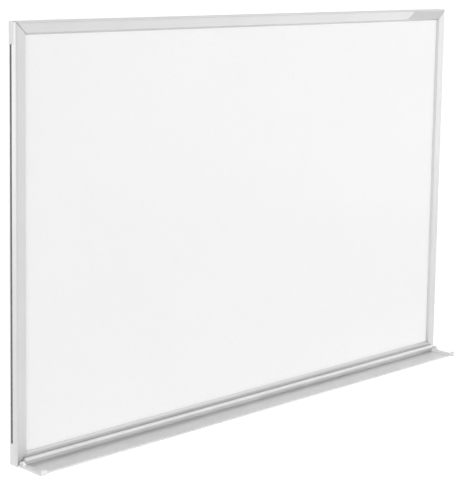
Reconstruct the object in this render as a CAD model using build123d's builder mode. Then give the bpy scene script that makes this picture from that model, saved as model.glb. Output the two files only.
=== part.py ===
from build123d import *
from math import hypot
import os

# A wall-hung magnetic whiteboard. An enamelled steel panel sits in four mitred aluminium
# rails joined by plastic corner blocks, with a pen tray clamped under the bottom rail.
# X runs to the reader's right, the writing side faces -Y and Z is up. The origin lies on
# the wall, midway between the holes of the four wall brackets.

# Board
board_width = 1500.0
board_height = 1000.0
frame_depth = 26.0

# Clearances
fit_gap = 0.1
assembly_gap = 0.4
mitre_gap = 0.6
open_mitre_gap = 0.8
lip_gap = 0.5

# Rail section, with widths measured inward from the outer edge and depths back from the face
rail_wall = 1.6
rail_face_width = 25.4
bevel_width = 5.1
panel_recess = 6.5
rail_edge_radius = 3.0
channel_width = 6.4
slot_opening = 6.9
slot_lip = 3.4
slot_channel_depth = 10.4
flange_width = 6.4
seat_rib_wall = 1.4
seat_rib_gap = 4.4
groove_start = 3.4
groove_width = 0.8
groove_depth = 0.5

# Panel
sheet_thickness = 0.5
core_thickness = 13.7
rear_sheet_thickness = 0.4
panel_edge_gap = 0.9

# Corner blocks
block_leg = 50.0
block_front = 7.0
block_corner_radius = 1.5
spigot_length = 25.0
gusset_reach = 80.0
gusset_bevel = 14.0
gusset_thickness = 1.6
boss_length = 20.0

# Corner screws
corner_screw_radius = 1.45
corner_screw_head_radius = 2.7
corner_screw_length = 4.1
corner_screw_along = 65.0
countersink_angle = 90
screw_fit = 0.05
cross_width = 0.6
cross_depth = 0.6

# Wall brackets
bracket_across = 40.0
bracket_down = 45.0
bracket_width = 30.0
bracket_steel = 1.2
bracket_hole_radius = 2.75
bracket_below_hole = 14.0
hook_above_hole = 12.0
hook_height = 9.0
hook_gap = 0.3
window_side_gap = 4.0
window_height = 14.0

# Nameplate, with its slanted left edge and its right edge along the mitre
plate_thickness = 0.5
plate_top_length = 132.0
plate_slant = 32.0
plate_inset = 0.6
plate_mitre_gap = 1.2

# Tray, with reaches measured forward from the rails' face and heights up from the frame's foot
tray_end_inset = 19.5
tray_reach = 75.0
shelf_top = 1.0
shelf_thickness = 2.0
tray_wall = 1.5
foot_thickness = 1.6
foot_reach = 24.0
bead_radius = 5.8
bead_reach = 6.0
bead_height = 13.4
bead_wall = 1.5
tray_lip_height = 2.7
tray_lip_width = 4.6
tray_lip_radius = 1.7

# Tray clamps
clamp_count = 4
clamp_end_inset = 85.5
nut_length = 12.0
nut_thickness = 3.0
clamp_radius = 2.0
clamp_head_radius = 3.8
clamp_head_height = 2.2
clamp_engagement = 6.2
clamp_hole_gap = 0.2
hex_across_flats = 2.5
hex_depth = 1.3

# Tray end caps
cap_width = 13.0
cap_height = 5.2
cap_face_gap = 0.5
cap_reach = 86.0
lug_thickness = 7.0
lug_height = 13.0
lug_rise = 4.0
lug_run = 10.0
lug_plan_radius = 8.0
lug_top_radius = 1.2
end_boss_radius = 7.0
end_boss_reach = 11.4
end_boss_height = 7.6
end_boss_width = 5.0
end_boss_proud = 3.0
end_boss_edge_radius = 0.3
recess_radius = 4.2
recess_depth = 4.0
flange_reach_in = 26.0
flange_root = 9.0
flange_thickness = 1.2
flange_start = 18.0
flange_end = 62.0

# End cap screws
cap_screw_radius = 1.5
cap_screw_head_radius = 2.8
cap_screw_head_height = 1.6
cap_screw_spacing = 24.0
cap_screw_inset = 13.0
cap_screw_skin = 0.3

# Plugs in the ends of the tray's bead
plug_length = 10.0
plug_flange = 1.5
plug_flange_inset = 0.3

# Sizes that follow from those above
rail_width = rail_face_width + bevel_width
channel_inner = rail_wall + channel_width
web_outer = channel_inner + rail_wall
flange_front = frame_depth - rail_wall
slot_start = frame_depth - slot_lip - slot_opening
slot_middle = slot_start + slot_opening / 2
channel_front = flange_front - slot_channel_depth
chamber_rear = channel_front - rail_wall
bevel_slope = bevel_width / panel_recess
lip_end = panel_recess - lip_gap
lip_width = rail_face_width + bevel_slope * lip_end
bevel_wall_width = rail_wall * hypot(bevel_width, panel_recess) / panel_recess
bevel_inner_start = rail_face_width + bevel_slope * rail_wall - bevel_wall_width
bevel_inner_end = lip_width - bevel_wall_width
rib_start = web_outer + seat_rib_gap
rib_end = rib_start + seat_rib_wall
flange_middle = web_outer + flange_width / 2
core_front = panel_recess + sheet_thickness
core_rear = core_front + core_thickness
panel_rear = core_rear + rear_sheet_thickness
panel_inset = web_outer + panel_edge_gap
gusset_front = flange_front - gusset_thickness
half_width = board_width / 2
half_height = board_height / 2
tray_half = half_width - tray_end_inset
bead_bore = bead_radius - bead_wall
shelf_bottom = shelf_top - shelf_thickness

depth_way = Vector(0, 1, 0)
os.makedirs("parts", exist_ok=True)


def save(part, label):
    """Label a finished piece and write it to its own file."""
    part.label = label
    export_step(part, f"parts/{label}.step")


def facing(depth):
    """Plane parallel to the wall at a depth behind the rails' face, turned to the reader."""
    return Plane(origin=(0, depth - frame_depth, 0), x_dir=(1, 0, 0), z_dir=(0, -1, 0))


def section_plane(edge, inward):
    """Plane across a rail: x runs inward from the outer edge and y back from the face."""
    return Plane(origin=edge, x_dir=inward, z_dir=inward.cross(depth_way))


def rail_plane(edge, inward, depth):
    """Plane along a rail at a depth: x runs along it, y inward, and the normal points back."""
    return Plane(origin=edge + depth_way * depth, x_dir=inward.cross(depth_way), z_dir=depth_way)


# Each side's length, the middle of its outer front edge and its way inward
sides = {
    "top": (board_width, Vector(0, -frame_depth, half_height), Vector(0, 0, -1)),
    "bottom": (board_width, Vector(0, -frame_depth, -half_height), Vector(0, 0, 1)),
    "left": (board_height, Vector(-half_width, -frame_depth, 0), Vector(1, 0, 0)),
    "right": (board_height, Vector(half_width, -frame_depth, 0), Vector(-1, 0, 0)),
}

# What each rail's two ends fall short of the true mitre: the top left joint stands open
end_gaps = {
    "top": (open_mitre_gap, mitre_gap),
    "bottom": (mitre_gap, mitre_gap),
    "left": (mitre_gap, open_mitre_gap),
    "right": (mitre_gap, mitre_gap),
}

# Rails: a box section with a slot in its outer side, a groove along its face, a bevelled
# lip in front of the panel and a flange behind it
rail_outline = [
    (0, 0),
    (groove_start, 0),
    (groove_start + groove_width / 2, groove_depth),
    (groove_start + groove_width, 0),
    (rail_face_width, 0),
    (lip_width, lip_end),
    (bevel_inner_end, lip_end),
    (bevel_inner_start, rail_wall),
    (rib_end, rail_wall),
    (rib_end, panel_recess),
    (rib_start, panel_recess),
    (rib_start, rail_wall),
    (web_outer, rail_wall),
    (web_outer, flange_front),
    (web_outer + flange_width, flange_front),
    (web_outer + flange_width, frame_depth),
    (0, frame_depth),
]


def make_rail(label, length, edge, inward, gaps):
    """Cut one rail to its mitres and notch its ends for the corner blocks."""
    half = length / 2
    start = gaps[0] - half
    end = half - gaps[1]
    mitre_reach = board_height / 4
    with BuildPart() as rail:
        with BuildSketch(section_plane(edge, inward)) as section:
            with BuildLine():
                Polyline(*rail_outline, close=True)
            make_face()
            fillet(section.vertices().sort_by_distance((0, 0, 0))[0], rail_edge_radius)
            with Locations((rail_wall, rail_wall)):
                Rectangle(channel_width, chamber_rear - rail_wall, align=Align.MIN, mode=Mode.SUBTRACT)
            with Locations((rail_wall, channel_front)):
                Rectangle(channel_width, slot_channel_depth, align=Align.MIN, mode=Mode.SUBTRACT)
            with Locations((0, slot_start)):
                Rectangle(rail_wall, slot_opening, align=Align.MIN, mode=Mode.SUBTRACT)
        extrude(amount=half, both=True)
        with BuildSketch(rail_plane(edge, inward, 0)):
            with BuildLine():
                Polyline(
                    (start, 0),
                    (end, 0),
                    (end - mitre_reach, mitre_reach),
                    (start + mitre_reach, mitre_reach),
                    close=True,
                )
            make_face()
        extrude(amount=frame_depth, mode=Mode.INTERSECT)
        with BuildSketch(rail_plane(edge, inward, block_front)):
            with Locations((block_leg / 2 - half, rail_width / 2), (half - block_leg / 2, rail_width / 2)):
                Rectangle(block_leg, rail_width)
        extrude(amount=frame_depth - block_front, mode=Mode.SUBTRACT)
        with Locations(rail_plane(edge, inward, frame_depth)):
            with Locations(
                (corner_screw_along - half, flange_middle),
                (half - corner_screw_along, flange_middle),
            ):
                CounterSinkHole(
                    corner_screw_radius + fit_gap,
                    corner_screw_head_radius + fit_gap,
                    depth=rail_wall,
                    counter_sink_angle=countersink_angle,
                )
    save(rail.part, label)


for name, (length, edge, inward) in sides.items():
    make_rail(f"{name}_rail", length, edge, inward, end_gaps[name])

# Panel: the enamelled writing sheet, its core and the rear sheet, one behind the other
panel_layers = {
    "writing_sheet": (core_front, sheet_thickness),
    "core_panel": (core_rear, core_thickness),
    "rear_sheet": (panel_rear, rear_sheet_thickness),
}
for name, (rear, thickness) in panel_layers.items():
    with BuildPart() as layer:
        with BuildSketch(facing(rear)):
            Rectangle(board_width - 2 * panel_inset, board_height - 2 * panel_inset)
        extrude(amount=thickness)
    save(layer.part, name)

# Retaining strips, wedged between the rear sheet and the rails' rear flanges
for name, (length, edge, inward) in sides.items():
    with BuildPart() as strip:
        with BuildSketch(section_plane(edge, inward)):
            with Locations((web_outer + assembly_gap, panel_rear)):
                Rectangle(flange_width - assembly_gap, flange_front - panel_rear, align=Align.MIN)
        extrude(amount=length / 2 - gusset_reach - assembly_gap, both=True)
    save(strip.part, f"retaining_strip_{name}")


def corner_point(side, level, across, down):
    """Point of a facing plane, measured inward from the corner on this side and level."""
    return (side * (half_width - across), level * (half_height - down))


def corner_rectangle(side, level, across, down, mode=Mode.ADD):
    """Rectangle from one inward distance to another, across and down from the corner."""
    middle = corner_point(side, level, sum(across) / 2, sum(down) / 2)
    with Locations(middle):
        Rectangle(across[1] - across[0], down[1] - down[0], mode=mode)


hook_seat = hook_above_hole + bracket_steel
gusset_edge = web_outer + assembly_gap / 2
gusset_root = channel_inner
boss_span = (
    corner_screw_along - boss_length / 2,
    corner_screw_along + boss_length / 2,
)
boss_width_span = (gusset_edge, web_outer + flange_width)
spigot_span = (block_leg, block_leg + spigot_length)
spigot_width_span = (rail_wall + fit_gap, channel_inner - fit_gap)


def make_corner_block(label, side, level):
    """Build one corner block: two legs in the rails' notches, spigots, gusset and hang bar."""
    seat_down = bracket_down - level * hook_seat
    window_down = (seat_down, seat_down + window_height)
    if level < 0:
        window_down = (seat_down - window_height, seat_down)
    window_across = (
        bracket_across - bracket_width / 2 - window_side_gap,
        bracket_across + bracket_width / 2 + window_side_gap,
    )
    with BuildPart() as block:
        with BuildSketch(facing(frame_depth)) as legs:
            corner_rectangle(side, level, (0, block_leg), (0, web_outer))
            corner_rectangle(side, level, (0, web_outer), (0, block_leg))
            outer_corner = corner_point(side, level, 0, 0)
            fillet(legs.vertices().sort_by_distance(outer_corner)[0], block_corner_radius)
        extrude(amount=frame_depth - block_front)
        with BuildSketch(facing(flange_front)) as gusset:
            corner_rectangle(side, level, (gusset_root, block_leg), (gusset_root, block_leg))
            corner_rectangle(side, level, (gusset_edge, gusset_reach), (gusset_edge, gusset_reach))
            inner_corner = corner_point(side, level, gusset_reach, gusset_reach)
            chamfer(gusset.vertices().sort_by_distance(inner_corner)[0], gusset_bevel)
            corner_rectangle(side, level, window_across, window_down, Mode.SUBTRACT)
        extrude(amount=gusset_thickness)
        with BuildSketch(facing(gusset_front)):
            corner_rectangle(side, level, boss_span, boss_width_span)
            corner_rectangle(side, level, boss_width_span, boss_span)
        extrude(amount=gusset_front - panel_rear - assembly_gap)
        with BuildSketch(facing(chamber_rear - fit_gap)):
            corner_rectangle(side, level, spigot_span, spigot_width_span)
            corner_rectangle(side, level, spigot_width_span, spigot_span)
        extrude(amount=chamber_rear - rail_wall - 2 * fit_gap)
        with Locations(facing(flange_front)):
            with Locations(
                corner_point(side, level, corner_screw_along, flange_middle),
                corner_point(side, level, flange_middle, corner_screw_along),
            ):
                Hole(corner_screw_radius + screw_fit)
    save(block.part, label)


corners = {
    "top_left": (-1, 1),
    "top_right": (1, 1),
    "bottom_left": (-1, -1),
    "bottom_right": (1, -1),
}
for name, (side, level) in corners.items():
    make_corner_block(f"corner_block_{name}", side, level)

# Corner screws: countersunk, from behind through each rail's flange into a corner block
corner_screw_spots = []
for side, level in corners.values():
    corner_screw_spots.append(corner_point(side, level, corner_screw_along, flange_middle))
    corner_screw_spots.append(corner_point(side, level, flange_middle, corner_screw_along))
head_taper = corner_screw_head_radius - corner_screw_radius
with BuildPart() as corner_screws:
    with Locations(Plane(origin=(0, 0, 0), x_dir=(1, 0, 0), z_dir=(0, 1, 0))):
        with Locations(*corner_screw_spots):
            Cone(
                corner_screw_radius,
                corner_screw_head_radius,
                head_taper,
                align=(Align.CENTER, Align.CENTER, Align.MAX),
            )
            Cylinder(
                corner_screw_radius,
                corner_screw_length,
                align=(Align.CENTER, Align.CENTER, Align.MAX),
            )
            Box(
                corner_screw_head_radius,
                cross_width,
                cross_depth,
                align=(Align.CENTER, Align.CENTER, Align.MAX),
                mode=Mode.SUBTRACT,
            )
            Box(
                cross_width,
                corner_screw_head_radius,
                cross_depth,
                align=(Align.CENTER, Align.CENTER, Align.MAX),
                mode=Mode.SUBTRACT,
            )
save(corner_screws.part, "corner_screws")


def bracket_outline(hole_level):
    """Z-shaped side outline of a wall bracket: depth from the face, height from the origin."""
    flat_front = frame_depth - bracket_steel
    hook_rear = gusset_front - hook_gap
    hook_front = hook_rear - bracket_steel
    return [
        (frame_depth, hole_level - bracket_below_hole),
        (flat_front, hole_level - bracket_below_hole),
        (flat_front, hole_level + hook_above_hole),
        (hook_front, hole_level + hook_above_hole),
        (hook_front, hole_level + hook_above_hole + hook_height),
        (hook_rear, hole_level + hook_above_hole + hook_height),
        (hook_rear, hole_level + hook_seat),
        (frame_depth, hole_level + hook_seat),
    ]


# Wall brackets: a flat with a screw hole, and an upturned hook under the corner's hang bar
for name, (side, level) in corners.items():
    bracket_x, bracket_z = corner_point(side, level, bracket_across, bracket_down)
    with BuildPart() as bracket:
        with BuildSketch(Plane(origin=(bracket_x, -frame_depth, 0), x_dir=(0, 1, 0), z_dir=(1, 0, 0))):
            with BuildLine():
                Polyline(*bracket_outline(bracket_z), close=True)
            make_face()
        extrude(amount=bracket_width / 2, both=True)
        with BuildSketch(Plane(origin=(bracket_x, 0, bracket_z), x_dir=(1, 0, 0), z_dir=(0, -1, 0))):
            Circle(bracket_hole_radius)
        extrude(amount=bracket_steel, mode=Mode.SUBTRACT)
    save(bracket.part, f"wall_bracket_{name}")

# Nameplate: a bare plate on the top rail's face, beside the right-hand mitre
plate_top = half_height - rail_edge_radius
plate_bottom = half_height - rail_face_width + plate_inset
plate_right = half_width - plate_mitre_gap
with BuildPart() as nameplate:
    with BuildSketch(facing(0)):
        with BuildLine():
            Polyline(
                (half_width - plate_top_length, plate_top),
                (plate_right - (half_height - plate_top), plate_top),
                (plate_right - (half_height - plate_bottom), plate_bottom),
                (half_width - plate_top_length - plate_slant, plate_bottom),
                close=True,
            )
        make_face()
    extrude(amount=plate_thickness)
save(nameplate.part, "nameplate")


def tray_plane(distance):
    """Plane across the tray: x runs forward from the rails' face, y up from the frame's foot."""
    return Plane(origin=(distance, -frame_depth, -half_height), x_dir=(0, -1, 0), z_dir=(-1, 0, 0))


def level_plane(height):
    """Horizontal plane at a height above the frame's foot, its y running back from the face."""
    return Plane.XY.offset(height - half_height)


clamp_spacing = 2 * (tray_half - clamp_end_inset) / (clamp_count - 1)
clamp_places = [
    ((index - (clamp_count - 1) / 2) * clamp_spacing, slot_middle - frame_depth)
    for index in range(clamp_count)
]
cap_screw_across = tray_half - cap_screw_inset
cap_screw_middle = -frame_depth - (flange_start + flange_end) / 2
cap_screw_places = [
    (side * cap_screw_across, cap_screw_middle + row * cap_screw_spacing / 2)
    for side in (-1, 1)
    for row in (-1, 1)
]

# Pen tray: one extrusion with a foot under the rail, a hollow bead, a shelf and a front lip
with BuildPart() as tray:
    with BuildSketch(tray_plane(0)) as tray_section:
        with Locations((-foot_reach, -foot_thickness)):
            Rectangle(foot_reach + tray_wall, foot_thickness, align=Align.MIN)
        with Locations((0, -foot_thickness)):
            Rectangle(tray_wall, bead_height + foot_thickness, align=Align.MIN)
        with Locations((0, shelf_bottom)):
            Rectangle(tray_reach, shelf_thickness, align=Align.MIN)
        with Locations((tray_reach - tray_lip_width, shelf_bottom)):
            Rectangle(tray_lip_width, tray_lip_height - shelf_bottom, align=Align.MIN)
        lip_corners = tray_section.vertices().filter_by_position(
            Axis.X, tray_reach - tray_lip_width, tray_reach
        )
        fillet(lip_corners.group_by(Axis.Y)[-1], tray_lip_radius)
        with Locations((bead_reach, bead_height)):
            Circle(bead_radius)
            Circle(bead_bore, mode=Mode.SUBTRACT)
    extrude(amount=tray_half, both=True)
    with BuildSketch(level_plane(-foot_thickness)):
        with Locations(*clamp_places):
            Circle(clamp_radius + clamp_hole_gap)
    extrude(amount=foot_thickness, mode=Mode.SUBTRACT)
    with BuildSketch(level_plane(shelf_bottom)):
        with Locations(*cap_screw_places):
            Circle(cap_screw_radius + screw_fit)
    extrude(amount=shelf_thickness - cap_screw_skin, mode=Mode.SUBTRACT)
save(tray.part, "pen_tray")

# Slot nuts, trapped behind the lips of the bottom rail's slot
with BuildPart() as slot_nuts:
    with BuildSketch(level_plane(rail_wall)):
        with Locations(*clamp_places):
            Rectangle(nut_length, slot_channel_depth - 2 * assembly_gap)
            Circle(clamp_radius + screw_fit, mode=Mode.SUBTRACT)
    extrude(amount=nut_thickness)
save(slot_nuts.part, "tray_slot_nuts")

# Clamp screws, up through the tray's foot into the slot nuts, with hexagon sockets
with BuildPart() as clamp_screws:
    with BuildSketch(level_plane(-foot_thickness - clamp_head_height)):
        with Locations(*clamp_places):
            Circle(clamp_head_radius)
    extrude(amount=clamp_head_height)
    with BuildSketch(level_plane(-foot_thickness)):
        with Locations(*clamp_places):
            Circle(clamp_radius)
    extrude(amount=clamp_engagement)
    with BuildSketch(level_plane(-foot_thickness - clamp_head_height)):
        with Locations(*clamp_places):
            RegularPolygon(hex_across_flats / 2, 6, major_radius=False)
    extrude(amount=hex_depth, mode=Mode.SUBTRACT)
save(clamp_screws.part, "tray_clamp_screws")


def make_end_cap(label, side):
    """Build one end cap: a bar over the shelf's end, a rear boss, a front lug and a flange."""
    inner = side * tray_half
    boss_end = side * (tray_half + cap_width + end_boss_proud)
    with BuildPart() as cap:
        with BuildSketch(tray_plane(inner)):
            with BuildLine():
                Polyline(
                    (cap_reach, lug_rise + shelf_bottom),
                    (cap_reach, lug_height),
                    (cap_reach - lug_thickness, lug_height),
                    (cap_reach - lug_thickness, cap_height),
                    (cap_face_gap, cap_height),
                    (cap_face_gap, shelf_bottom),
                    (cap_reach - lug_run, shelf_bottom),
                )
                Spline(
                    (cap_reach - lug_run, shelf_bottom),
                    (cap_reach, lug_rise + shelf_bottom),
                    tangents=[(1, 0), (1, 1)],
                )
            make_face()
        extrude(amount=-side * cap_width)
        upright = cap.edges().filter_by(Axis.Z).group_by(Axis.Y)[0]
        fillet(upright.sort_by(Axis.X)[-1 if side > 0 else 0], lug_plan_radius)
        fillet(cap.edges().group_by(Axis.Z)[-1], lug_top_radius)
        with BuildSketch(tray_plane(boss_end)):
            with Locations((end_boss_reach, end_boss_height)):
                Circle(end_boss_radius)
        extrude(amount=side * (end_boss_width + end_boss_proud))
        boss_face = cap.faces().sort_by(Axis.X)[-1 if side > 0 else 0]
        fillet(boss_face.edges(), end_boss_edge_radius)
        with BuildSketch(tray_plane(boss_end)):
            with Locations((end_boss_reach, end_boss_height)):
                Circle(recess_radius)
        extrude(amount=side * recess_depth, mode=Mode.SUBTRACT)
        with BuildSketch(level_plane(shelf_bottom - flange_thickness)):
            with Locations((inner + side * (flange_root - flange_reach_in) / 2, cap_screw_middle)):
                Rectangle(flange_root + flange_reach_in, flange_end - flange_start)
            with Locations(*cap_screw_places):
                Circle(cap_screw_radius + clamp_hole_gap, mode=Mode.SUBTRACT)
        extrude(amount=flange_thickness)
    save(cap.part, label)


make_end_cap("tray_end_cap_left", -1)
make_end_cap("tray_end_cap_right", 1)

# End cap screws, up through the caps' flanges into the shelf
with BuildPart() as cap_screws:
    with BuildSketch(level_plane(shelf_bottom - flange_thickness - cap_screw_head_height)):
        with Locations(*cap_screw_places):
            Circle(cap_screw_head_radius)
    extrude(amount=cap_screw_head_height)
    with BuildSketch(level_plane(shelf_bottom - flange_thickness)):
        with Locations(*cap_screw_places):
            Circle(cap_screw_radius)
    extrude(amount=flange_thickness + shelf_thickness - 2 * cap_screw_skin)
    with BuildSketch(level_plane(shelf_bottom - flange_thickness - cap_screw_head_height)):
        with Locations(*cap_screw_places):
            Rectangle(cap_screw_head_radius, cross_width)
            Rectangle(cross_width, cap_screw_head_radius)
    extrude(amount=cross_depth, mode=Mode.SUBTRACT)
save(cap_screws.part, "end_cap_screws")

# Plugs that close the ends of the tray's bead
for name, side in {"left": -1, "right": 1}.items():
    with BuildPart() as plug:
        with BuildSketch(tray_plane(side * tray_half)):
            with Locations((bead_reach, bead_height)):
                Circle(bead_bore - fit_gap)
        extrude(amount=side * plug_length)
        with BuildSketch(tray_plane(side * tray_half)):
            with Locations((bead_reach, bead_height)):
                Circle(bead_radius - plug_flange_inset)
        extrude(amount=-side * plug_flange)
    save(plug.part, f"bead_plug_{name}")
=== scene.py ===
"""Looks of a wall-hung magnetic whiteboard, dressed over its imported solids.

X runs to the reader's right, the writing side faces -Y and Z is up. The origin lies on
the wall behind the board's middle. Sizes are in millimetres where a name ends in _mm and
in metres elsewhere.
"""

import logging
import math
from dataclasses import dataclass, field, replace
from enum import Enum

import bmesh
import bpy
from mathutils import Matrix, Vector


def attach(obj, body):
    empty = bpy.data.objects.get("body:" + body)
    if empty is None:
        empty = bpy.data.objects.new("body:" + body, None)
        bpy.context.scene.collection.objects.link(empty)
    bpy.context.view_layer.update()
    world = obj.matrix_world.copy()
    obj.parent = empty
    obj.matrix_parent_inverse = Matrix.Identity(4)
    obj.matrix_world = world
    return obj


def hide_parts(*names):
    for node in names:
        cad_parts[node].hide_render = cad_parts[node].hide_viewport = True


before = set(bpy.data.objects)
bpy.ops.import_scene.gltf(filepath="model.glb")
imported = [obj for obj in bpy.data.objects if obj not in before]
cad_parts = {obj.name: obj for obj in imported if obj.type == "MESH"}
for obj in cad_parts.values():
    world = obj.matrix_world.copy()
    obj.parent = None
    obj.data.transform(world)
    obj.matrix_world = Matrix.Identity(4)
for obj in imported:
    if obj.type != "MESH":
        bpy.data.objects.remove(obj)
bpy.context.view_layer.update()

MM = 0.001
BODY = "root"
# A Mix node's sockets have the same names for each type, so those for colours go by number
MIX_FIRST_COLOUR = 6
MIX_SECOND_COLOUR = 7
MIX_COLOUR_RESULT = 2
log = logging.getLogger("whiteboard")


def linear(colour: str) -> tuple[float, float, float, float]:
    """Turn an sRGB hex colour into linear light.

    Args:
        colour: the colour as #RRGGBB.

    Returns:
        Its red, green and blue in linear light, and an alpha of one.
    """
    shares = [int(colour[start : start + 2], 16) / 255 for start in (1, 3, 5)]
    # The curve is the sRGB standard's: a straight foot, then a power
    lit = [s / 12.92 if s <= 0.04045 else ((s + 0.055) / 1.055) ** 2.4 for s in shares]
    return (lit[0], lit[1], lit[2], 1.0)


def add_node(
    tree: bpy.types.NodeTree,
    kind: str,
    fields: dict[str, object] | None = None,
    inputs: dict[str | int, object] | None = None,
    links: dict[str | int, bpy.types.NodeSocket] | None = None,
) -> bpy.types.Node:
    """Add a node with its settings and its links.

    Args:
        tree: the node tree that gets the node.
        kind: the node's type.
        fields: the node's own settings by name.
        inputs: constant values by input name or number.
        links: the sockets that feed the node, by input name or number.

    Returns:
        The new node.
    """
    node = tree.nodes.new(kind)
    for name, value in (fields or {}).items():
        setattr(node, name, value)
    for name, value in (inputs or {}).items():
        node.inputs[name].default_value = value
    for name, source in (links or {}).items():
        tree.links.new(source, node.inputs[name])
    return node


class Pattern(Enum):
    """How a finish's marks are laid out over the surface."""

    GRAIN = "even noise"
    SPANGLE = "crystals with straight edges"
    CELLS = "open cells with thin walls"


@dataclass(frozen=True)
class Finish:
    """A real material and the way its surface was made.

    Attributes:
        name: the material's common name.
        light: the colour of its brighter marks.
        dark: the colour of its darker marks.
        roughness: its roughness in the brighter and in the darker marks.
        marks_mm: the marks' size along X, Y and Z.
        relief_mm: how far the marks stand out.
        clouds_mm: the size of the broad unevenness of the sheen.
        metallic: one for bare metal, less under an oxide skin.
        ior: its index of refraction, left alone for bare metal.
        coat: the strength of a clear skin over it.
        coat_roughness: that skin's own roughness.
        pattern: the layout of the marks.
        grain_detail: how many finer layers the even noise has.
        grain_roughness: how strong those finer layers are.
        cell_disorder: how irregular crystals and cells are.
        clouds_detail: how many finer layers the clouds have.
        clouds_share: how much the clouds add to the marks.
        mixed_range: the sums of marks and clouds that give the darker and the brighter colour.
    """

    name: str
    light: str
    dark: str
    roughness: tuple[float, float]
    marks_mm: tuple[float, float, float]
    relief_mm: float
    clouds_mm: float = 90.0
    metallic: float = 0.0
    ior: float = 1.5
    coat: float = 0.0
    coat_roughness: float = 0.08
    pattern: Pattern = Pattern.GRAIN
    grain_detail: float = 3.0
    grain_roughness: float = 0.55
    cell_disorder: float = 0.9
    clouds_detail: float = 2.0
    clouds_share: float = 0.5
    mixed_range: tuple[float, float] = (0.45, 1.05)

    def marks(self, tree: bpy.types.NodeTree, place: bpy.types.NodeSocket) -> bpy.types.NodeSocket:
        """Add the marks' pattern.

        Args:
            tree: the material's node tree.
            place: the socket that gives the place on the object.

        Returns:
            A socket that runs from zero in the darker marks to one in the brighter ones.
        """
        scale = [1 / (size * MM) for size in self.marks_mm]
        local = add_node(
            tree,
            "ShaderNodeMapping",
            inputs={"Scale": scale},
            links={"Vector": place},
        ).outputs["Vector"]
        if self.pattern is Pattern.GRAIN:
            noise = add_node(
                tree,
                "ShaderNodeTexNoise",
                inputs={
                    "Scale": 1.0,
                    "Detail": self.grain_detail,
                    "Roughness": self.grain_roughness,
                },
                links={"Vector": local},
            )
            return noise.outputs["Fac"]
        feature = "F1" if self.pattern is Pattern.SPANGLE else "DISTANCE_TO_EDGE"
        cells = add_node(
            tree,
            "ShaderNodeTexVoronoi",
            fields={"feature": feature},
            inputs={"Scale": 1.0, "Randomness": self.cell_disorder},
            links={"Vector": local},
        )
        if self.pattern is Pattern.CELLS:
            return cells.outputs["Distance"]
        split = add_node(tree, "ShaderNodeSeparateColor", links={"Color": cells.outputs["Color"]})
        return split.outputs["Red"]

    def build(self) -> bpy.types.Material:
        """Make the material.

        Returns:
            The finished material.
        """
        material = bpy.data.materials.new(self.name)
        material.use_nodes = True
        tree = material.node_tree
        tree.nodes.clear()
        place = add_node(tree, "ShaderNodeTexCoord").outputs["Object"]
        marks = self.marks(tree, place)
        clouds = add_node(
            tree,
            "ShaderNodeTexNoise",
            inputs={"Scale": 1 / (self.clouds_mm * MM), "Detail": self.clouds_detail},
            links={"Vector": place},
        ).outputs["Fac"]
        both = add_node(
            tree,
            "ShaderNodeMath",
            fields={"operation": "MULTIPLY_ADD"},
            inputs={1: self.clouds_share},
            links={0: clouds, 2: marks},
        ).outputs["Value"]
        share = add_node(
            tree,
            "ShaderNodeMapRange",
            inputs={"From Min": self.mixed_range[0], "From Max": self.mixed_range[1]},
            links={"Value": both},
        ).outputs["Result"]
        colour = add_node(
            tree,
            "ShaderNodeMix",
            fields={"data_type": "RGBA"},
            inputs={
                MIX_FIRST_COLOUR: linear(self.dark),
                MIX_SECOND_COLOUR: linear(self.light),
            },
            links={0: share},
        ).outputs[MIX_COLOUR_RESULT]
        roughness = add_node(
            tree,
            "ShaderNodeMapRange",
            inputs={"To Min": self.roughness[1], "To Max": self.roughness[0]},
            links={"Value": share},
        ).outputs["Result"]
        relief = add_node(
            tree,
            "ShaderNodeBump",
            inputs={"Strength": 1.0, "Distance": self.relief_mm * MM},
            links={"Height": marks},
        ).outputs["Normal"]
        shader = add_node(
            tree,
            "ShaderNodeBsdfPrincipled",
            inputs={
                "Metallic": self.metallic,
                "Coat Weight": self.coat,
                "Coat Roughness": self.coat_roughness,
            },
            links={"Base Color": colour, "Roughness": roughness, "Normal": relief},
        )
        if self.metallic < 1:
            shader.inputs["IOR"].default_value = self.ior
        add_node(tree, "ShaderNodeOutputMaterial", links={"Surface": shader.outputs["BSDF"]})
        return material


# Extruded aluminium, etched and clear anodised: a pale silky sheen with faint lines along
# the length, drawn 2 mm apart because the real ones are too fine to show
RAIL_ALONG_X = Finish(
    "anodised_aluminium_along_x",
    light="#D6D6D6",
    dark="#CFCFCF",
    roughness=(0.34, 0.40),
    marks_mm=(600.0, 2.0, 2.0),
    relief_mm=0.004,
    metallic=0.9,
)
RAIL_ALONG_Z = replace(
    RAIL_ALONG_X,
    name="anodised_aluminium_along_z",
    marks_mm=(2.0, 2.0, 600.0),
)
# The same anodised aluminium for the tray: it carries pens, so its sheen is duller and more
# scuffed. Its lines are drawn 3 mm apart, again because the real ones are too fine to show
TRAY_ALUMINIUM = Finish(
    "anodised_aluminium_tray",
    light="#E9E9E9",
    dark="#D9D9D9",
    roughness=(0.46, 0.58),
    marks_mm=(400.0, 3.2, 3.2),
    relief_mm=0.006,
    clouds_mm=60.0,
    metallic=0.7,
)
# Vitreous enamel fired on steel: hard, smooth and glossy, with a faint ripple
WHITE_ENAMEL = Finish(
    "white_vitreous_enamel",
    light="#F8F8F8",
    dark="#F5F5F5",
    roughness=(0.16, 0.22),
    marks_mm=(7.0, 7.0, 7.0),
    relief_mm=0.004,
    clouds_mm=260.0,
    coat=0.3,
)
# Kraft paper honeycomb: brown cells, 10 mm across, between the two steel sheets
HONEYCOMB_BOARD = Finish(
    "kraft_honeycomb_board",
    light="#B08D5E",
    dark="#7C6038",
    roughness=(0.85, 0.95),
    marks_mm=(10.0, 10.0, 10.0),
    relief_mm=0.5,
    pattern=Pattern.CELLS,
)
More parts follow.
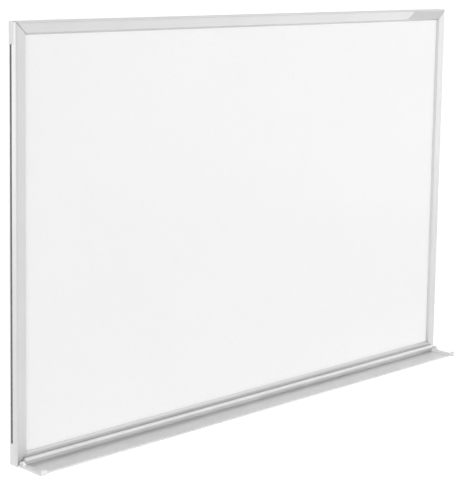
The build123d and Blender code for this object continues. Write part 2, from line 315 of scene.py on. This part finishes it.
# Hot-dip galvanised steel: zinc crystals a finger's width across, each with its own grey
GALVANISED_STEEL = Finish(
    "galvanised_steel_sheet",
    light="#C3C6C8",
    dark="#B9BCBF",
    roughness=(0.36, 0.46),
    marks_mm=(14.0, 14.0, 14.0),
    relief_mm=0.0,
    clouds_mm=180.0,
    metallic=1.0,
    pattern=Pattern.SPANGLE,
)
# ABS with a spark-eroded skin: an even soft grey that spreads every highlight. Its grain is
# drawn about 1 mm wide because the real one is too fine to show
CORNER_ABS = Finish(
    "light_grey_abs_textured",
    light="#F2F2F2",
    dark="#EDEDED",
    roughness=(0.42, 0.52),
    marks_mm=(1.2, 1.2, 1.2),
    relief_mm=0.02,
    ior=1.53,
)
# ABS from a polished mould: the same grey with a clear shine on its rounded edges, and the
# faint waves that the plastic's flow leaves, 9 mm long
CAP_ABS = Finish(
    "light_grey_abs_polished",
    light="#EFEFEF",
    dark="#EBEBEB",
    roughness=(0.26, 0.32),
    marks_mm=(9.0, 9.0, 9.0),
    relief_mm=0.003,
    ior=1.53,
)
# PVC strip, extruded: dark and matt, with a slight mottle 4 mm across
STRIP_PVC = Finish(
    "dark_grey_pvc_strip",
    light="#4A4A4C",
    dark="#3A3A3C",
    roughness=(0.5, 0.62),
    marks_mm=(4.0, 4.0, 4.0),
    relief_mm=0.02,
    ior=1.54,
)
# Polyester film, screen printed grey: flat and satin. Its tooth is drawn 3 mm wide because
# the real one is too fine to show
PLATE_FILM = Finish(
    "grey_printed_polyester_film",
    light="#C9C9C9",
    dark="#C4C4C4",
    roughness=(0.36, 0.42),
    marks_mm=(3.0, 3.0, 3.0),
    relief_mm=0.004,
    ior=1.6,
)
# Moulded polyethylene: a dull grey white, waxy rather than shiny. Its grain is drawn 1.5 mm
# wide because the real one is too fine to show
PLUG_POLYETHYLENE = Finish(
    "light_grey_polyethylene",
    light="#E4E4E4",
    dark="#DDDDDD",
    roughness=(0.5, 0.6),
    marks_mm=(1.5, 1.5, 1.5),
    relief_mm=0.02,
    ior=1.51,
)
# Bright zinc plating on turned and pressed steel: cool grey with a soft shine, mottled every
# 3 mm and clouded every 20 mm by the bath
ZINC_PLATE = Finish(
    "bright_zinc_plated_steel",
    light="#CDD0D2",
    dark="#B4B7BA",
    roughness=(0.26, 0.38),
    marks_mm=(3.0, 3.0, 3.0),
    relief_mm=0.006,
    clouds_mm=20.0,
    metallic=1.0,
)


def dress(node: str, material: bpy.types.Material) -> None:
    """Give a CAD node its material.

    Args:
        node: the node's name.
        material: the finish that it gets.
    """
    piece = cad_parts[node]
    for holder in piece.material_slots:
        holder.material = material
    log.info("dressed %s in %s", node, material.name)


def add_piece(
    name: str,
    mesh: bmesh.types.BMesh,
    material: bpy.types.Material,
    nodes: tuple[str, ...],
) -> None:
    """Turn a finished bmesh into a piece that rides on the board and stands for CAD nodes.

    Args:
        name: the piece's name.
        mesh: its shape, in place.
        material: its finish.
        nodes: the CAD nodes that it stands for.
    """
    data = bpy.data.meshes.new(name)
    bmesh.ops.recalc_face_normals(mesh, faces=mesh.faces)
    mesh.to_mesh(data)
    mesh.free()
    data.materials.append(material)
    piece = bpy.data.objects.new(name, data)
    bpy.context.scene.collection.objects.link(piece)
    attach(piece, BODY)
    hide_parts(*nodes)
    log.info("built %s with %d faces", name, len(data.polygons))


def backdrop_rays(tree: bpy.types.NodeTree) -> bpy.types.NodeSocket:
    """Tell the rays that show the background from those that carry light to dull surfaces.

    Args:
        tree: the node tree of the world or of the floor.

    Returns:
        A socket at one for rays from the camera, from a reflection or through glass.
    """
    ray = add_node(tree, "ShaderNodeLightPath")
    clear = ray.outputs["Is Camera Ray"]
    for kind in ("Is Glossy Ray", "Is Transmission Ray"):
        clear = add_node(
            tree,
            "ShaderNodeMath",
            fields={"operation": "MAXIMUM"},
            links={0: clear, 1: ray.outputs[kind]},
        ).outputs["Value"]
    return clear


@dataclass(frozen=True)
class Light:
    """A bright part of the studio, as the board sees it.

    Attributes:
        around_deg: its direction, from straight in front round to the reader's right.
        up_deg: its height over the horizon.
        level: how bright it looks, where one is the background's white.
    """

    around_deg: float
    up_deg: float
    level: float

    def way(self) -> Vector:
        """Find the direction towards it.

        Returns:
            A vector of length one from the board to the light.
        """
        around, up = math.radians(self.around_deg), math.radians(self.up_deg)
        reach = math.cos(up)
        return Vector((math.sin(around) * reach, -math.cos(around) * reach, math.sin(up)))


@dataclass
class Studio:
    """The camera at the photograph's place, soft light all round and a pale floor.

    Attributes:
        camera_place: where the camera stands.
        camera_yaw: how far it is turned from facing the board to the reader's right.
        camera_pitch: how far it looks down.
        camera_roll: how far it leans.
        lens_mm: its focal length.
        sensor_mm: its sensor's width.
        shift_up: how far the picture is shifted, as a share of its width.
        floor_drop: how far the floor lies below the board's middle.
        floor_size: the floor's side.
        floor_paint: the floor's colour.
        floor_lift: how much brighter the floor looks than it is, in pictures and reflections.
        white: the colour of the room's light, of the floor's lift and of the background.
        room_level: how bright the room is away from the glows.
        glow_tightness: how quickly a glow fades away from its direction.
        glows: the bright parts of the room.
        softbox_distance: how far the softboxes hang from the board's middle.
        softbox_size: their width and height.
        softboxes: the softboxes.
    """

    camera_place: Vector = field(default_factory=lambda: Vector((-2.6465, -2.6500, 0.6662)))
    camera_yaw: float = math.radians(44.3426)
    camera_pitch: float = math.radians(7.4373)
    camera_roll: float = math.radians(-0.9337)
    lens_mm: float = 109.89
    sensor_mm: float = 36.0
    shift_up: float = -0.21
    floor_drop: float = 1.40
    floor_size: float = 80.0
    floor_paint: str = "#E2E2E2"
    floor_lift: float = 0.63
    white: str = "#FFFFFF"
    room_level: float = 0.25
    glow_tightness: float = 6.0
    glows: tuple[Light, ...] = (
        Light(-60, 6, 2.00),
        Light(0, 6, 2.25),
        Light(180, 6, 0.40),
    )
    softbox_distance: float = 4.5
    softbox_size: tuple[float, float] = (4.4, 2.4)
    softboxes: tuple[Light, ...] = (
        Light(-120, 5, 0.60),
        Light(60, 5, 0.25),
        Light(90, 5, 0.50),
        Light(60, 45, 0.22),
    )

    def add_camera(self) -> None:
        """Add the camera and make it the scene's."""
        data = bpy.data.cameras.new("camera")
        data.lens = self.lens_mm
        data.sensor_width = self.sensor_mm
        data.shift_y = self.shift_up
        data.clip_end = self.floor_size
        camera = bpy.data.objects.new("camera", data)
        turn = (
            Matrix.Rotation(-self.camera_yaw, 4, "Z")
            @ Matrix.Rotation(math.pi / 2 - self.camera_pitch, 4, "X")
            @ Matrix.Rotation(-self.camera_roll, 4, "Z")
        )
        camera.matrix_world = Matrix.Translation(self.camera_place) @ turn
        bpy.context.scene.collection.objects.link(camera)
        bpy.context.scene.camera = camera

    def add_world(self) -> None:
        """Light the room softly, with a broad glow for each of its bright parts."""
        world = bpy.data.worlds.new("studio")
        bpy.context.scene.world = world
        world.use_nodes = True
        # Dull surfaces and mirrors each find the room by their own rays
        world.cycles.sampling_method = "NONE"
        tree = world.node_tree
        tree.nodes.clear()
        way = add_node(tree, "ShaderNodeTexCoord").outputs["Generated"]
        level = add_node(tree, "ShaderNodeValue").outputs["Value"]
        level.default_value = self.room_level
        for glow in self.glows:
            nearness = add_node(
                tree,
                "ShaderNodeVectorMath",
                fields={"operation": "DOT_PRODUCT"},
                inputs={1: glow.way()},
                links={0: way},
            )
            fall = add_node(
                tree,
                "ShaderNodeMath",
                fields={"operation": "MULTIPLY_ADD"},
                inputs={1: self.glow_tightness, 2: -self.glow_tightness},
                links={0: nearness.outputs["Value"]},
            )
            patch = add_node(
                tree,
                "ShaderNodeMath",
                fields={"operation": "EXPONENT"},
                links={0: fall.outputs["Value"]},
            )
            level = add_node(
                tree,
                "ShaderNodeMath",
                fields={"operation": "MULTIPLY_ADD"},
                inputs={1: glow.level},
                links={0: patch.outputs["Value"], 2: level},
            ).outputs["Value"]
        room = add_node(
            tree,
            "ShaderNodeBackground",
            inputs={"Color": linear(self.white)},
            links={"Strength": level},
        )
        backdrop = add_node(tree, "ShaderNodeBackground", inputs={"Color": linear(self.white)})
        mixed = add_node(
            tree,
            "ShaderNodeMixShader",
            links={
                0: backdrop_rays(tree),
                1: room.outputs["Background"],
                2: backdrop.outputs["Background"],
            },
        )
        add_node(tree, "ShaderNodeOutputWorld", links={"Surface": mixed.outputs["Shader"]})

    def add_softbox(self, light: Light) -> None:
        """Add a wide softbox that faces the board's middle.

        Args:
            light: where it hangs and how bright its face looks.
        """
        data = bpy.data.lights.new("softbox", "AREA")
        data.shape = "RECTANGLE"
        data.size, data.size_y = self.softbox_size
        data.energy = light.level * math.pi * math.prod(self.softbox_size)
        lamp = bpy.data.objects.new("softbox", data)
        lamp.location = light.way() * self.softbox_distance
        lamp.visible_camera = False
        lamp.rotation_euler = (-light.way()).to_track_quat("-Z", "Y").to_euler()
        bpy.context.scene.collection.objects.link(lamp)

    def add_floor(self) -> None:
        """Lay a white floor that keeps the board's shadow and melts into the background."""
        mesh = bmesh.new()
        bmesh.ops.create_grid(mesh, x_segments=1, y_segments=1, size=self.floor_size / 2)
        bmesh.ops.translate(mesh, verts=mesh.verts, vec=(0, 0, -self.floor_drop))
        data = bpy.data.meshes.new("floor")
        mesh.to_mesh(data)
        mesh.free()
        floor = bpy.data.objects.new("floor", data)
        bpy.context.scene.collection.objects.link(floor)
        material = bpy.data.materials.new("white_painted_floor")
        material.use_nodes = True
        # The lift shows the floor as white but lights nothing
        material.cycles.emission_sampling = "NONE"
        tree = material.node_tree
        tree.nodes.clear()
        lift = add_node(
            tree,
            "ShaderNodeMath",
            fields={"operation": "MULTIPLY"},
            inputs={1: self.floor_lift},
            links={0: backdrop_rays(tree)},
        )
        paint = add_node(tree, "ShaderNodeBsdfDiffuse", inputs={"Color": linear(self.floor_paint)})
        glow = add_node(
            tree,
            "ShaderNodeEmission",
            inputs={"Color": linear(self.white)},
            links={"Strength": lift.outputs["Value"]},
        )
        both = add_node(
            tree,
            "ShaderNodeAddShader",
            links={0: paint.outputs["BSDF"], 1: glow.outputs["Emission"]},
        )
        add_node(tree, "ShaderNodeOutputMaterial", links={"Surface": both.outputs["Shader"]})
        data.materials.append(material)

    def build(self) -> None:
        """Set up the camera, the light and the floor."""
        self.add_camera()
        self.add_world()
        for light in self.softboxes:
            self.add_softbox(light)
        self.add_floor()
        bpy.context.scene.view_settings.view_transform = "Standard"
        log.info("studio is set")


@dataclass
class Frame:
    """The four mitred rails and the plate on the top one.

    Attributes:
        lying: the rails along X.
        upright: the rails along Z.
        plate: the plate.
    """

    lying: tuple[str, ...] = ("top_rail", "bottom_rail")
    upright: tuple[str, ...] = ("left_rail", "right_rail")
    plate: str = "nameplate"

    def build(self) -> None:
        """Dress the rails along their length, and the plate."""
        along_x = RAIL_ALONG_X.build()
        along_z = RAIL_ALONG_Z.build()
        for node in self.lying:
            dress(node, along_x)
        for node in self.upright:
            dress(node, along_z)
        dress(self.plate, PLATE_FILM.build())


@dataclass
class Panel:
    """The enamelled sheet, its core and rear sheet, and the strips that hold them.

    Attributes:
        strips: the sides that have a strip.
    """

    strips: tuple[str, ...] = ("top", "bottom", "left", "right")

    def build(self) -> None:
        """Dress each layer and the strips."""
        dress("writing_sheet", WHITE_ENAMEL.build())
        dress("core_panel", HONEYCOMB_BOARD.build())
        dress("rear_sheet", GALVANISED_STEEL.build())
        strip = STRIP_PVC.build()
        for side in self.strips:
            dress(f"retaining_strip_{side}", strip)


class Recess(Enum):
    """The driver's recess in a screw's head."""

    CROSS = "cross"
    HEXAGON = "hexagon"


# A cross is the middle row and column of a grid of three by three cells
CROSS_CELLS = 3
HEXAGON_SIDES = 6


def pull(
    mesh: bmesh.types.BMesh, edges: list[bmesh.types.BMEdge]
) -> tuple[list[bmesh.types.BMEdge], list[bmesh.types.BMVert]]:
    """Pull a row of edges out of a mesh, with faces between the old and the new row.

    Args:
        mesh: the mesh that the edges are in.
        edges: the row of edges.

    Returns:
        The new row's edges and vertices, still in the old row's place.
    """
    made = bmesh.ops.extrude_edge_only(mesh, edges=edges)["geom"]
    verts = [v for v in made if isinstance(v, bmesh.types.BMVert)]
    fresh = set(verts)
    row = [e for e in made if isinstance(e, bmesh.types.BMEdge) and set(e.verts) <= fresh]
    return row, verts


@dataclass(frozen=True)
class Screw:
    """A screw turned about Z, with its head's rim at zero and its tip below.

    Attributes:
        recess: the kind of recess in the head.
        recess_mm: the recess's width.
        recess_depth_mm: the recess's depth.
        steps_mm: radius and height of each ring, from the rim of the head's top to the tip.
        around: how many edges each ring has.
        recess_taper: the width of the recess's floor as a share of its mouth's.
    """

    recess: Recess
    recess_mm: float
    recess_depth_mm: float
    steps_mm: tuple[tuple[float, float], ...]
    around: int = 24
    recess_taper: float = 0.8

    def recess_outline(self, mesh: bmesh.types.BMesh) -> list[bmesh.types.BMEdge]:
        """Draw the recess's outline at zero height.

        Args:
            mesh: the screw's mesh.

        Returns:
            The outline's edges, as many as the screw has around it.
        """
        half = self.recess_mm * MM / 2
        if self.recess is Recess.CROSS:
            bmesh.ops.create_grid(mesh, x_segments=CROSS_CELLS, y_segments=CROSS_CELLS, size=half)
            arm = half / CROSS_CELLS
            corners = [f for f in mesh.faces if min(map(abs, f.calc_center_median()[:2])) > arm]
            bmesh.ops.delete(mesh, geom=corners, context="FACES")
            bmesh.ops.delete(mesh, geom=mesh.faces[:], context="FACES_KEEP_BOUNDARY")
        else:
            corner_radius = half / math.cos(math.pi / HEXAGON_SIDES)
            bmesh.ops.create_circle(mesh, segments=HEXAGON_SIDES, radius=corner_radius)
        sides = mesh.edges[:]
        bmesh.ops.subdivide_edges(mesh, edges=sides, cuts=self.around // len(sides) - 1)
        return mesh.edges[:]

    def ring_down(
        self,
        mesh: bmesh.types.BMesh,
        ring: list[bmesh.types.BMEdge],
        scale: float,
        drop: float,
    ) -> list[bmesh.types.BMEdge]:
        """Carry a ring of edges down to the next step.

        Args:
            mesh: the screw's mesh.
            ring: the edges to carry.
            scale: how much wider the next ring is.
            drop: how far it moves along Z.

        Returns:
            The next ring's edges.
        """
        lower, verts = pull(mesh, ring)
        bmesh.ops.scale(mesh, vec=(scale, scale, 1), verts=verts)
        bmesh.ops.translate(mesh, vec=(0, 0, drop), verts=verts)
        return lower

    def build(self) -> bmesh.types.BMesh:
        """Build one screw.

        Returns:
            Its closed mesh.
        """
        mesh = bmesh.new()
        outline = self.recess_outline(mesh)
        radius, height = self.steps_mm[0]
        bmesh.ops.create_circle(mesh, segments=self.around, radius=radius * MM)
        rim = [e for e in mesh.edges if e not in outline]
        bmesh.ops.bridge_loops(mesh, edges=outline + rim)
        floor = self.ring_down(mesh, outline, self.recess_taper, -self.recess_depth_mm * MM)
        bmesh.ops.contextual_create(mesh, geom=floor)
        ring = rim
        for wider, lower in self.steps_mm[1:]:
            ring = self.ring_down(mesh, ring, wider / radius, (lower - height) * MM)
            radius, height = wider, lower
        bmesh.ops.contextual_create(mesh, geom=ring)
        return mesh


def scattered(screw: Screw, turn: Matrix, places: list[Vector]) -> bmesh.types.BMesh:
    """Copy one screw to several places.

    Args:
        screw: the screw to copy.
        turn: how it is turned from standing on Z.
        places: where the heads' tops lie.

    Returns:
        One mesh with all the screws.
    """
    single = bpy.data.meshes.new("single_screw")
    model = screw.build()
    model.to_mesh(single)
    model.free()
    mesh = bmesh.new()
    for place in places:
        before = set(mesh.verts)
        mesh.from_mesh(single)
        fresh = [v for v in mesh.verts if v not in before]
        bmesh.ops.transform(mesh, matrix=Matrix.Translation(place) @ turn, verts=fresh)
    bpy.data.meshes.remove(single)
    return mesh


@dataclass
class CornerFittings:
    """The corner blocks, the screws that hold the rails to them and the wall brackets.

    Attributes:
        half_width_mm: half the frame's width.
        half_height_mm: half the frame's height.
        screw_along_mm: a screw's distance from the corner, along its rail.
        screw_across_mm: its distance from the rail's outer side.
        bracket_x_mm: a bracket hole's distance from the board's middle along X.
        bracket_z_mm: its distance from the middle along Z.
        bracket_width_mm: a bracket's width.
        bracket_steel_mm: the thickness of its steel.
        bracket_below_mm: how far its flat reaches below the hole.
        bracket_step_mm: how far above the hole it steps forward.
        bracket_top_mm: how far above the hole its hook ends.
        hook_depth_mm: how far the hook stands in front of the flat.
        bend_mm: how far a bend's rounding reaches from its corner.
        bend_steps: how many faces a bend has.
        bend_from_deg: the angle between faces from which an edge is a bend.
        hole_radius_mm: the radius of the wall screw's hole.
        side_cuts: how many cuts each side of the flat gets, to meet the hole's ring.
        same_place_mm: how close two heights lie when they count as one.
        corners: each corner's name, its side along X and its level along Z.
        screw: the countersunk screw.
    """

    half_width_mm: float = 750.0
    half_height_mm: float = 500.0
    screw_along_mm: float = 65.0
    screw_across_mm: float = 12.8
    bracket_x_mm: float = 710.0
    bracket_z_mm: float = 455.0
    bracket_width_mm: float = 30.0
    bracket_steel_mm: float = 1.2
    bracket_below_mm: float = 14.0
    bracket_step_mm: float = 12.6
    bracket_top_mm: float = 21.0
    hook_depth_mm: float = 3.5
    bend_mm: float = 1.4
    bend_steps: int = 5
    bend_from_deg: float = 60.0
    hole_radius_mm: float = 2.75
    side_cuts: int = 7
    same_place_mm: float = 0.01
    corners: tuple[tuple[str, int, int], ...] = (
        ("top_left", -1, 1),
        ("top_right", 1, 1),
        ("bottom_left", -1, -1),
        ("bottom_right", 1, -1),
    )
    screw: Screw = Screw(
        Recess.CROSS,
        recess_mm=2.8,
        recess_depth_mm=0.8,
        steps_mm=((2.62, 0.0), (2.7, -0.08), (1.45, -1.33), (1.45, -3.7), (1.1, -4.1)),
    )

    def bracket(self, side: int, level: int) -> bmesh.types.BMesh:
        """Bend one bracket: a flat with a hole, a step forward and an upturned hook.

        Args:
            side: -1 on the left, 1 on the right.
            level: -1 at the bottom, 1 at the top.

        Returns:
            The bracket's closed mesh, in place.
        """
        mesh = bmesh.new()
        below, step, top = (
            size * MM
            for size in (self.bracket_below_mm, self.bracket_step_mm, self.bracket_top_mm)
        )
        half = self.bracket_width_mm * MM / 2
        bmesh.ops.create_grid(mesh, x_segments=1, y_segments=1, size=half)
        bmesh.ops.delete(mesh, geom=mesh.faces[:], context="FACES_KEEP_BOUNDARY")
        bmesh.ops.scale(mesh, vec=(1, (step + below) / (2 * half), 1), verts=mesh.verts)
        bmesh.ops.translate(mesh, vec=(0, (step - below) / 2, 0), verts=mesh.verts)
        bmesh.ops.subdivide_edges(mesh, edges=mesh.edges[:], cuts=self.side_cuts)
        outline = mesh.edges[:]
        bmesh.ops.create_circle(mesh, segments=len(outline), radius=self.hole_radius_mm * MM)
        bmesh.ops.bridge_loops(mesh, edges=mesh.edges[:])
        nearly_top = step - self.same_place_mm * MM
        edge = [e for e in outline if min(v.co.y for v in e.verts) > nearly_top]
        for move in ((0, 0, self.hook_depth_mm * MM), (0, top - step, 0)):
            edge, verts = pull(mesh, edge)
            bmesh.ops.translate(mesh, vec=move, verts=verts)
        sharp = math.radians(self.bend_from_deg)
        bends = [e for e in mesh.edges if len(e.link_faces) == 2 and e.calc_face_angle() > sharp]
        bmesh.ops.bevel(
            mesh,
            geom=bends,
            offset=self.bend_mm * MM,
            offset_type="OFFSET",
            segments=self.bend_steps,
            profile=0.5,
            affect="EDGES",
            material=-1,
        )
        bmesh.ops.recalc_face_normals(mesh, faces=mesh.faces)
        bmesh.ops.solidify(mesh, geom=mesh.faces[:], thickness=self.bracket_steel_mm * MM)
        turn = Matrix.Rotation(math.pi / 2, 4, "X")
        place_mm = (side * self.bracket_x_mm, -self.bracket_steel_mm / 2, level * self.bracket_z_mm)
        move = Matrix.Translation(Vector(place_mm) * MM)
        bmesh.ops.transform(mesh, matrix=move @ turn, verts=mesh.verts)
        rear = max(v.co.y for v in mesh.verts)
        bmesh.ops.translate(mesh, vec=(0, -rear, 0), verts=mesh.verts)
        return mesh

    def build(self) -> None:
        """Dress the blocks, and build the screws and the brackets."""
        plastic = CORNER_ABS.build()
        zinc = ZINC_PLATE.build()
        spots = []
        for name, side, level in self.corners:
            dress(f"corner_block_{name}", plastic)
            node = f"wall_bracket_{name}"
            add_piece(f"{node}_bent", self.bracket(side, level), zinc, (node,))
            for inset_x_mm, inset_z_mm in (
                (self.screw_along_mm, self.screw_across_mm),
                (self.screw_across_mm, self.screw_along_mm),
            ):
                x_mm = side * (self.half_width_mm - inset_x_mm)
                z_mm = level * (self.half_height_mm - inset_z_mm)
                spots.append(Vector((x_mm, 0, z_mm)) * MM)
        turn = Matrix.Rotation(-math.pi / 2, 4, "X")
        screws = scattered(self.screw, turn, spots)
        add_piece("corner_screws_recessed", screws, zinc, ("corner_screws",))


@dataclass
class PenTray:
    """The tray's extrusion, its end caps, the plugs in its bead and what clamps it.

    Attributes:
        clamp_x_mm: where the clamp screws stand along X.
        clamp_y_mm: where they stand along Y.
        cap_screw_x_mm: where the end caps' screws stand along X.
        cap_screw_y_mm: where they stand along Y.
        head_level_mm: the height of all the heads' tops, which face down.
        clamp_screw: the cylinder-head screw that goes into a slot nut.
        cap_screw: the pan-head screw that goes into an end cap.
    """

    clamp_x_mm: tuple[float, ...] = (-645.0, -215.0, 215.0, 645.0)
    clamp_y_mm: float = -6.85
    cap_screw_x_mm: tuple[float, ...] = (-717.5, 717.5)
    cap_screw_y_mm: tuple[float, ...] = (-78.0, -54.0)
    head_level_mm: float = -503.8
    clamp_screw: Screw = Screw(
        Recess.HEXAGON,
        recess_mm=2.5,
        recess_depth_mm=1.3,
        steps_mm=((3.5, 0.0), (3.8, -0.3), (3.8, -2.2), (2.0, -2.2), (2.0, -8.0), (1.6, -8.4)),
    )
    cap_screw: Screw = Screw(
        Recess.CROSS,
        recess_mm=2.6,
        recess_depth_mm=0.8,
        steps_mm=(
            (1.9, 0.0),
            (2.45, -0.25),
            (2.8, -0.8),
            (2.8, -1.6),
            (1.5, -1.6),
            (1.5, -4.0),
            (1.2, -4.2),
        ),
    )

    def build(self) -> None:
        """Dress the tray, its caps, plugs and nuts, and build its screws."""
        zinc = ZINC_PLATE.build()
        cap = CAP_ABS.build()
        plug = PLUG_POLYETHYLENE.build()
        dress("pen_tray", TRAY_ALUMINIUM.build())
        dress("tray_slot_nuts", zinc)
        for side in ("left", "right"):
            dress(f"tray_end_cap_{side}", cap)
            dress(f"bead_plug_{side}", plug)
        turn = Matrix.Rotation(math.pi, 4, "X")
        heads_mm = self.head_level_mm
        clamp_spots = [Vector((x, self.clamp_y_mm, heads_mm)) * MM for x in self.clamp_x_mm]
        cap_spots = [
            Vector((x, y, heads_mm)) * MM for x in self.cap_screw_x_mm for y in self.cap_screw_y_mm
        ]
        clamps = scattered(self.clamp_screw, turn, clamp_spots)
        add_piece("tray_clamp_screws_socket", clamps, zinc, ("tray_clamp_screws",))
        caps = scattered(self.cap_screw, turn, cap_spots)
        add_piece("end_cap_screws_recessed", caps, zinc, ("end_cap_screws",))


def main() -> None:
    """Build the studio and dress the board, one sub-assembly after another."""
    logging.basicConfig(level=logging.INFO, format="%(name)s: %(message)s")
    Studio().build()
    for assembly in (Frame(), Panel(), CornerFittings(), PenTray()):
        assembly.build()


if __name__ == "__main__":
    main()
